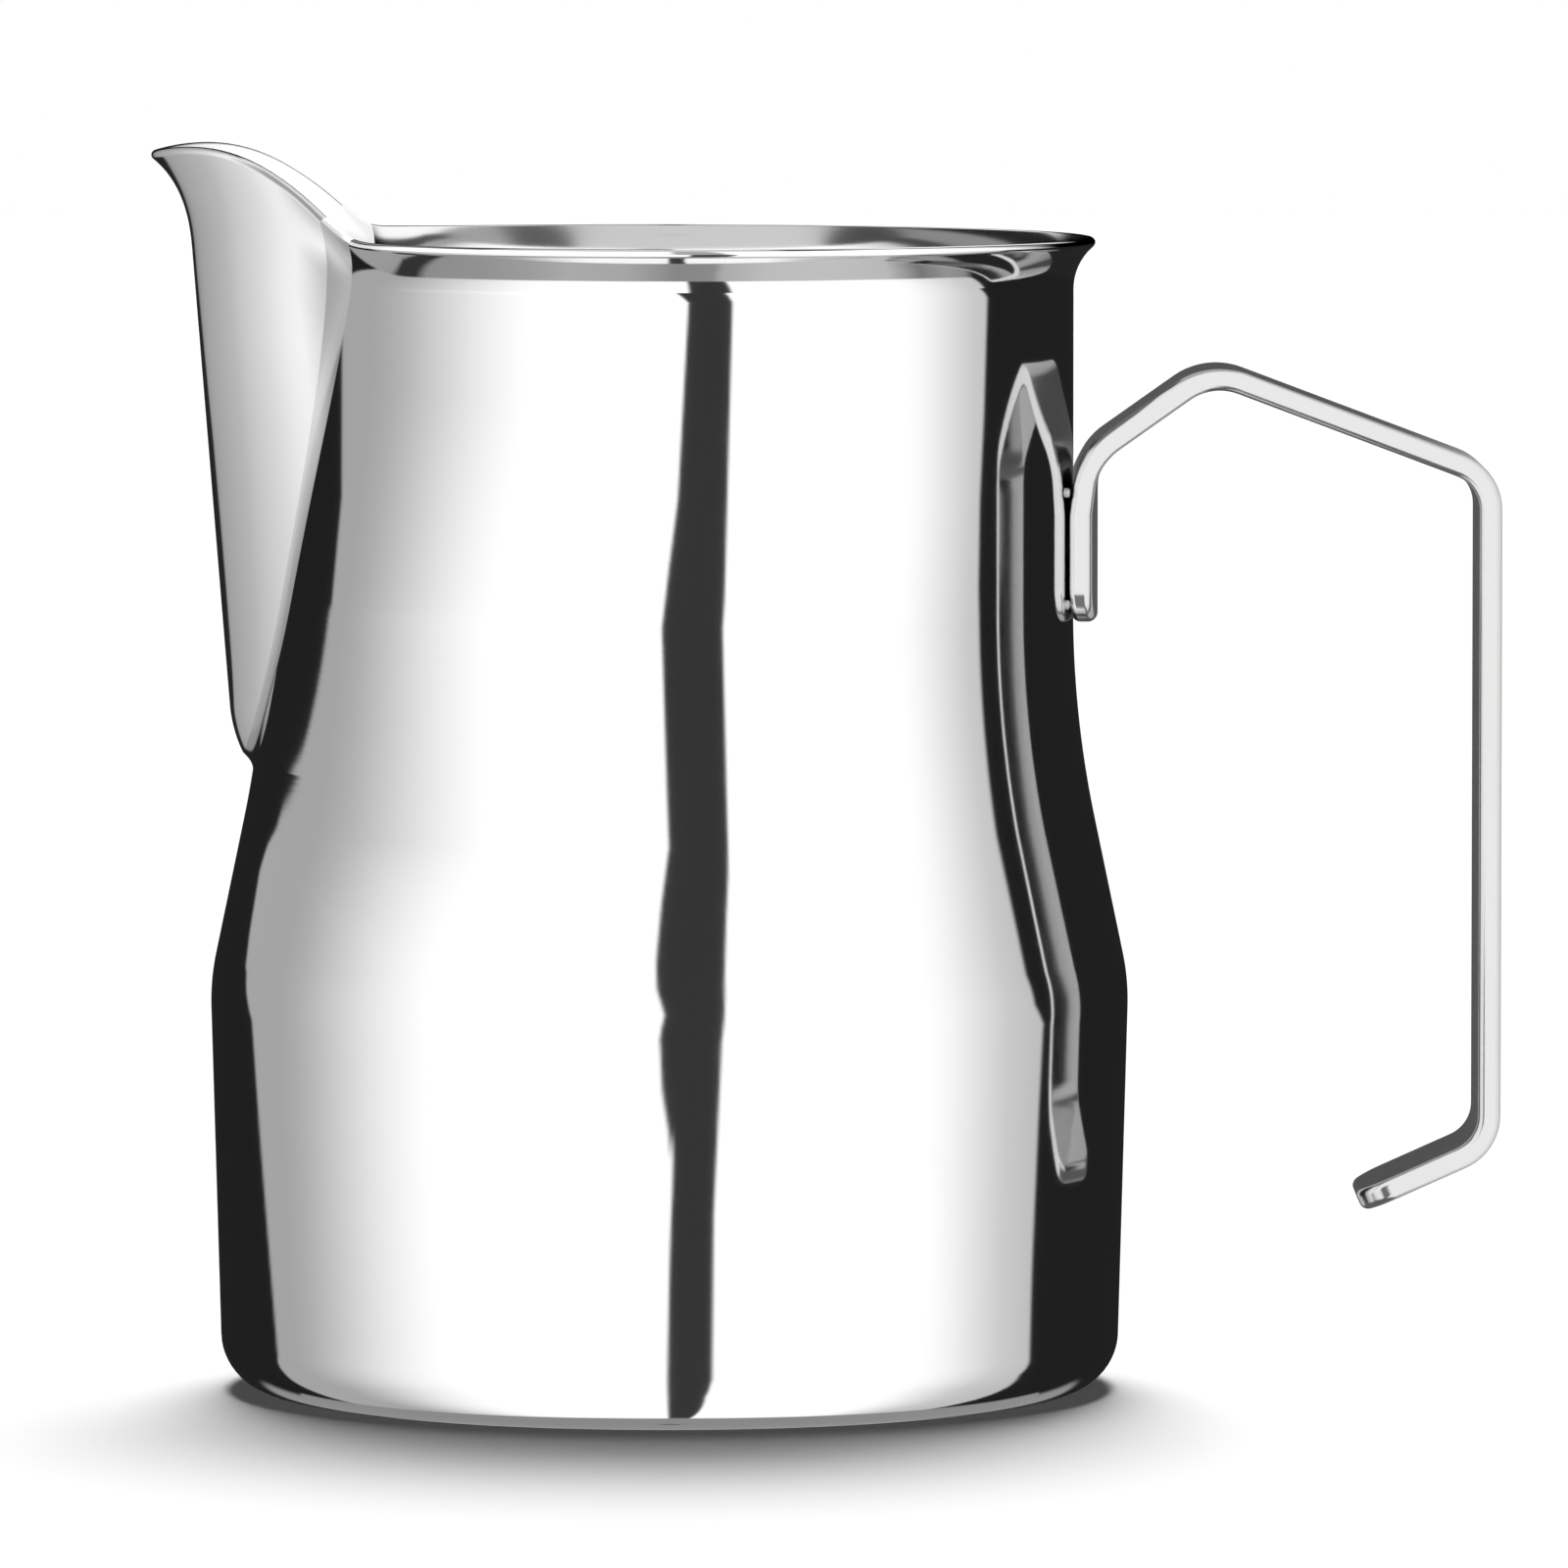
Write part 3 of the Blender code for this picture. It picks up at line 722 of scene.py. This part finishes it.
HANDLE_CLOTH = (
    (-180, -140, -125, -110, -40, 0, 60, 80, 100, 126, 135, 165, 180),
    (0.6, 0.6, 0.15, 0.12, 1.02, 1.1, 1.1, 0.95, 0.6, 0.45, 0.09, 0.09, 0.6),
)

UNDERSIDE = (  # the lip's grey underside: the table it reflects, whose grey is a painted shadow
    (-0.85, -0.74, -0.685, -0.66, -0.60, -0.575, -0.45, -0.33, -0.24, -0.10,
     0.02, 0.11, 0.13, 0.24, 0.38, 0.52, 0.60, 0.66, 0.70, 0.72),
    (0.40, 0.40, 0.37, 0.04, 0.04, 0.33, 0.36, 0.42, 0.50, 0.47,
     0.30, 0.32, 0.50, 0.63, 0.65, 0.60, 0.22, 0.36, 0.30, 0.02),
)
INSIDE = (  # the stripes of its inside
    (-0.68, -0.66, -0.56, -0.54, -0.41, -0.39, -0.25, -0.23, 0.375, 0.395, 0.57, 0.60, 0.74, 0.78),
    (1.1, 0.06, 0.06, 0.42, 0.45, 0.10, 0.10, 0.72, 0.74, 0.06, 0.08, 0.30, 0.34, 0.02),
)
LIP_FRONT = ((-110, -70, 60, 90, 112), (0.4, 1.0, 1.0, 0.8, 0.02))
LIP_REAR = (
    (-157, -152, -128, -124, -110, 110, 114, 118, 133, 138),
    (0.02, 0.32, 0.30, 0.06, 0.06, 0.45, 0.45, 0.06, 0.06, 1.2),
)

# the parts of the softbox that casts the shadow: how far each leans back, and its share
SOFTBOX = ((7, 0.11), (15, 0.27), (23, 0.33), (31, 0.20), (38, 0.09))
SOFTBOX_SPREAD = 26.0
SOFTBOX_STRENGTH = 3.95


def band(value, low, high, soft):
    """1 between low and high, 0 outside, with soft edges."""
    return smoothstep(low - soft, low + soft, value) * (1 - smoothstep(high - soft, high + soft, value))


def is_table(height):
    """The tent's bottom, as a mask."""
    return height <= TENT_LOW + 1e-6


def is_roof(height):
    """The tent's top, as a mask."""
    return height >= TENT_HIGH - 1e-6


def plan(direction, radius):
    """Where a place of the tent is, across the camera's sight line and away along it."""
    turn = np.radians(direction)
    return radius * np.sin(turn), -radius * np.cos(turn)


def lamps(direction):
    """The narrower lamps above the cloth."""
    glow = np.full_like(direction, BETWEEN_LAMPS)
    for low, high, light in LAMPS:
        for turn in (-360, 0, 360):
            glow = glow + light * band(direction + turn, low, high, LAMP_EDGE)
    return glow


def cup_tent(direction, radius, height):
    """What the cup sees: cloth between two flags, with a narrow one in front, lamps behind and above, and a
    table with a painted shadow round the pitcher.
    """
    tables = (LEFT_FLAG, RIGHT_FLAG, SLIT_LEFT, SLIT_RIGHT, CLOTH_FADE)
    left, right, slit_left, slit_right, fade = (np.interp(height, *table) for table in tables)
    cloth = CLOTH_DIM + CLOTH_GAIN * smoothstep(fade, fade + FADE_WIDTH, direction)
    low, high, shift = RIGHT_SHIFT
    right_cloth = np.interp(direction - shift * smoothstep(low, high, height), *RIGHT_FADE)
    cloth = np.where(direction > 0, right_cloth, cloth)
    white = band(direction, left, right, FLAG_EDGE)
    slit = band(direction, slit_left, slit_right, SLIT_EDGE)
    glow = (BLACK + (cloth - BLACK) * white) * (1 - slit) + SLIT_TONE * slit
    glow = glow + BACK_LAMP_TONE * band(direction % 360, *BACK_LAMP)
    above = smoothstep(CLOTH_TOP - TOP_EDGE, CLOTH_TOP + TOP_EDGE, height)
    glow = glow * (1 - above) + lamps(direction) * above
    # painted shadow: grey on the table behind a curve before the axis, and low on the wall at the back
    across, away = plan(direction, radius)
    front, bend = TABLE_SHADOW_EDGE
    grey = smoothstep(-4.0, 4.0, away + front - bend * across**2) * is_table(height)
    heights, directions = LOW_BACK_SHADOW
    grey = np.maximum(grey, (1 - smoothstep(*heights, height)) * smoothstep(*directions, np.abs(direction)))
    glow = glow * (1 - grey) + SHADOWED_TABLE_TONE * grey
    return np.where(is_roof(height), 0.55 + 0.25 * np.cos(np.radians(2 * direction)), glow)


def spout_tent(direction, radius, height):
    """What the spout sees: the cloth reaches further round it, up to a black line beside the ridge."""
    turned = np.where(direction > 90, direction - 360, direction)
    cloth = np.interp(turned, *SPOUT_CLOTH) * np.interp(height, *SPOUT_LEVEL)
    ridge = np.interp(height, *RIDGE_LINE)
    lined = SPOUT_BLACK + (cloth - SPOUT_BLACK) * smoothstep(ridge - 2, ridge + 2, turned)
    middle, reach = RIDGE_ZONE
    cloth = np.where(np.abs(turned - middle) < reach, lined, cloth)
    # painted shadow: the table's grey 0.45 stands for the floor in the pitcher's shade
    return np.where(is_table(height), 0.45, np.where(is_roof(height), 0.85, cloth))


def seam_tent(direction, radius, height):
    """What the seam sees: a blend of the cup's tent and the spout's, and white above."""
    share = smoothstep(86.0, 100.0, height)
    from_cup = cup_tent(direction, radius, height) * (0.12 + 0.50 * share)
    from_spout = spout_tent(direction, radius, height) * (0.75 - 0.50 * share)
    return from_cup + from_spout + 0.8 * smoothstep(110.0, 150.0, height)


def handle_tent(direction, radius, height):
    """What the handle sees: white in front, dark behind it, under it and below the tab."""
    dark = 0.85 * band(direction, 4, 32, 3.0) * (1 - smoothstep(30.0, 40.0, height))
    cloth = np.interp(direction, *HANDLE_CLOTH) * (1 - dark)
    return np.where(is_table(height), 0.14, np.where(is_roof(height), 0.5, cloth))


def lip_place(across, away, drop, radius):
    """Sine of the angle round the axis of the place on a leaning rim that shows a point of the roof or of the
    table to the camera's side. The drop is how far the point is from the rim, and the radius is the rim's,
    negative for its inside. At each angle one lean, with the tangent t, reflects the point's own distance
    across, and the angle is taken where that lean misses the point's distance away the least."""
    u, w, g = np.abs(across)[..., None] / drop, away[..., None] / drop, -radius / drop
    angles = np.radians(np.linspace(0.5, 78.0, 150))
    t = 1 / np.maximum(g + u / np.sin(angles), 0.05)
    miss = np.abs((t - np.cos(2 * angles) / t) / (2 * np.cos(angles)) + g * np.cos(angles) - w)
    return np.sign(across) * np.sin(angles[np.argmin(miss, axis=-1)])


def lip_tent(direction, radius, height):
    """What the flared lip sees: the table below it, grey with a painted shadow, white cloth in front, and
    stripes above.
    """
    across, away = plan(direction, radius)
    share = 0.54 - 0.0017 * (40 - height) - 0.0006 * np.abs(direction)  # the lip's angle per direction
    on_wall = np.interp(np.sin(np.radians(direction) * share), *UNDERSIDE)
    on_table = np.interp(lip_place(across, away, RIM_HEIGHT - TENT_LOW, NECK_RADIUS), *UNDERSIDE)
    # painted shadow: the table and the low wall show the underside's grey
    below = np.where(is_table(height), on_table, on_wall)
    body = cup_tent(direction, radius, np.full_like(height, RIM_HEIGHT - 5.0))
    front = 1.45 * (1 - 0.68 * band(direction, 1.0, 13.0, 1.5)) * np.interp(direction, *LIP_FRONT)
    rear = np.interp(direction, *LIP_REAR) * smoothstep(140.0, 160.0, height)
    turned = smoothstep(100, 112, np.abs(direction))
    above = front * (1 - turned) + rear * turned
    border = 44 + 45 * (direction / 126) ** 2  # height where the table's tones end on the wall
    low, high = smoothstep(border - 3, border + 3, height), smoothstep(107.0, 109.0, height)
    glow = (below * (1 - low) + body * low) * (1 - high) + above * high
    roof = np.interp(-lip_place(across, away, TENT_HIGH - RIM_HEIGHT, -NECK_RADIUS), *INSIDE)
    return np.where(is_roof(height), roof, glow)


def glow_material(name):
    """Cloth whose brightness is its mesh's own, and which lets other light pass."""
    material = bpy.data.materials.new(name)
    material.use_nodes = True
    tree = material.node_tree
    tree.nodes.remove(tree.nodes["Principled BSDF"])
    light = tree.nodes.new("ShaderNodeEmission")
    glow = tree.nodes.new("ShaderNodeAttribute")
    glow.attribute_name = "glow"
    tree.links.new(glow.outputs["Fac"], light.inputs["Strength"])
    both = tree.nodes.new("ShaderNodeAddShader")
    clear = tree.nodes.new("ShaderNodeBsdfTransparent")
    tree.links.new(light.outputs[0], both.inputs[0])
    tree.links.new(clear.outputs[0], both.inputs[1])
    tree.links.new(both.outputs[0], tree.nodes["Material Output"].inputs["Surface"])
    material.cycles.emission_sampling = "NONE"
    return material


def stage_mesh(name, points, faces, material, glow=None):
    """A mesh of the studio, with a brightness for each of its points if it glows."""
    mesh = bpy.data.meshes.new(name)
    mesh.from_pydata(mm(np.asarray(points, float)).tolist(), [], faces)
    if glow is not None:
        attribute = mesh.attributes.new("glow", "FLOAT", "POINT")
        attribute.data.foreach_set("value", np.asarray(glow, np.float32))
    obj = bpy.data.objects.new(name, mesh)
    bpy.context.scene.collection.objects.link(obj)
    mesh.materials.append(material)
    return obj


def shine_on(obj, pieces):
    """Makes a lamp that shows only in the reflections of these pieces."""
    obj.visible_camera = obj.visible_diffuse = obj.visible_shadow = False
    obj.visible_transmission = obj.visible_volume_scatter = False
    lit = bpy.data.collections.new(obj.name + "_lights")
    for piece in pieces:
        lit.objects.link(piece)
    obj.light_linking.receiver_collection = lit


def make_tent(name, brightness, pieces, layer):
    """A closed drum round the pitcher: table, wall and roof. Each layer is a little larger than the last."""
    radius = np.concatenate([
        np.linspace(TENT_HOLE, TENT_RADIUS, TABLE_ROWS),
        np.full(len(WALL_ROWS), TENT_RADIUS),
        np.linspace(TENT_RADIUS, TENT_HOLE, ROOF_ROWS),
    ])
    height = np.concatenate([np.full(TABLE_ROWS, TENT_LOW), WALL_ROWS, np.full(ROOF_ROWS, TENT_HIGH)])
    direction = np.arange(-180.0, 180.01, 0.5)
    r, a = np.meshgrid(radius, direction, indexing="ij")
    h = np.repeat(height[:, None], len(direction), axis=1)
    glow = brightness(a, r, h).ravel()
    across, away = plan(a, (1 + TENT_GROWTH * layer) * r)
    z = h + np.where(h < 50, -1.0, 1.0) * layer * (np.abs(h - 100) > 100)  # only its ends move
    points = np.stack([across, away, z], axis=-1).reshape(-1, 3)
    index = np.arange(len(points)).reshape(a.shape)
    corners = [index[:-1, :-1], index[:-1, 1:], index[1:, 1:], index[1:, :-1]]
    faces = np.stack(corners, axis=-1).reshape(-1, 4).tolist()
    shine_on(stage_mesh(name, points, faces, glow_material(name + "_cloth"), glow), pieces)


def make_floor():
    """A wide pale floor that takes the shadow. The pitcher reflects its tents and not the floor."""
    material, shader, add, link = nodes_of("pale_floor")
    where = add("ShaderNodeTexCoord").outputs["Object"]
    cloud = add("ShaderNodeTexNoise", {"Vector": where, "Scale": 3.0, "Detail": 2.0})
    tone = add("ShaderNodeMix", {"Factor": cloud.outputs["Fac"]}, data_type="RGBA")
    tone.inputs[6].default_value = (0.93, 0.93, 0.93, 1.0)
    tone.inputs[7].default_value = (0.95, 0.95, 0.95, 1.0)
    link(tone.outputs[2], shader.inputs["Base Color"])
    shader.inputs["Roughness"].default_value = 0.9
    shader.inputs["Specular IOR Level"].default_value = 0.0
    size = 4000.0
    points = [(-size, -size, 0.0), (size, -size, 0.0), (size, size, 0.0), (-size, size, 0.0)]
    floor = stage_mesh("floor", points, [(0, 1, 2, 3)], material)
    floor.visible_glossy = False


def make_sun(name, lean, spread, strength):
    """A far round softbox, leaning back from straight above."""
    light = bpy.data.lights.new(name, "SUN")
    light.energy = strength
    light.angle = math.radians(spread)
    obj = bpy.data.objects.new(name, light)
    obj.rotation_euler = (math.radians(-lean), 0.0, 0.0)
    bpy.context.scene.collection.objects.link(obj)
    obj.visible_glossy = False


def make_studio(cup, lip, seam, spout, others):
    tents = (
        ("cup_tent", cup_tent, [cup]),
        ("lip_tent", lip_tent, [lip]),
        ("seam_tent", seam_tent, [seam]),
        ("spout_tent", spout_tent, [spout]),
        ("handle_tent", handle_tent, others),
    )
    for layer, (name, brightness, pieces) in enumerate(tents):
        make_tent(name, brightness, pieces, layer)
    make_floor()
    for lean, share in SOFTBOX:
        make_sun(f"softbox_{lean}", lean, SOFTBOX_SPREAD, SOFTBOX_STRENGTH * share)
    world = bpy.data.worlds.new("studio")
    bpy.context.scene.world = world
    world.use_nodes = True
    background = world.node_tree.nodes["Background"]
    background.inputs["Color"].default_value = (1.0, 1.0, 1.0, 1.0)
    background.inputs["Strength"].default_value = 1.0
    world.cycles_visibility.diffuse = False
    world.cycles_visibility.glossy = False
    bpy.context.scene.view_settings.view_transform = "Standard"


def make_camera():
    """A long lens a little above the rim, tilted down."""
    camera = bpy.data.cameras.new("camera")
    camera.sensor_width = 36.0
    camera.lens = 344.25
    camera.clip_end = 100.0
    obj = bpy.data.objects.new("camera", camera)
    obj.location = (0.0111, -1.45, 0.155)
    obj.rotation_euler = (math.radians(90.0 - 3.80), 0.0, 0.0)
    bpy.context.scene.collection.objects.link(obj)
    bpy.context.scene.camera = obj


# --- assembly -------------------------------------------------------------------------------------

POLISHED = steel_material(
    "polished_steel", (0.80, 0.80, 0.81), roughness=0.055, spread=0.012,
    grain=(30, 30, 2600), bump=0.10, inside_roughness=0.14,
)
SPOUT_STEEL = steel_material(
    "spout_steel", (0.80, 0.80, 0.81), roughness=0.07, spread=0.015,
    grain=(40, 40, 2200), bump=0.06, inside_roughness=0.14,
)
SATIN = steel_material(
    "satin_steel", (0.74, 0.74, 0.735), roughness=0.17, spread=0.03,
    grain=(600, 600, 600), bump=0.12,
)
WELD = steel_material(
    "weld_steel", (0.56, 0.55, 0.54), roughness=0.36, spread=0.07,
    grain=(1400, 1400, 1400), bump=0.6,
)

cup, lip = (finish(piece, POLISHED, "polished_steel", "cup") for piece in make_cup())
spout = finish(make_spout(), SPOUT_STEEL, "polished_steel", "spout")
seam = finish(make_spout_weld(), SPOUT_STEEL, "polished_steel", "spout_weld")
others = [finish(make_handle(), SATIN, "satin_steel", "handle")]
for weld in ("handle_weld_lower", "handle_weld_upper"):
    others.append(finish(make_handle_weld(weld), WELD, "weld_steel", weld))

for piece in (lip, *others):
    piece.visible_shadow = False  # the photo's floor shadow is the body's alone
for piece in (cup, lip, spout, seam, *others):
    piece.visible_diffuse = False  # so that the floor takes no tint from the steel
make_studio(cup, lip, seam, spout, others)
make_camera()
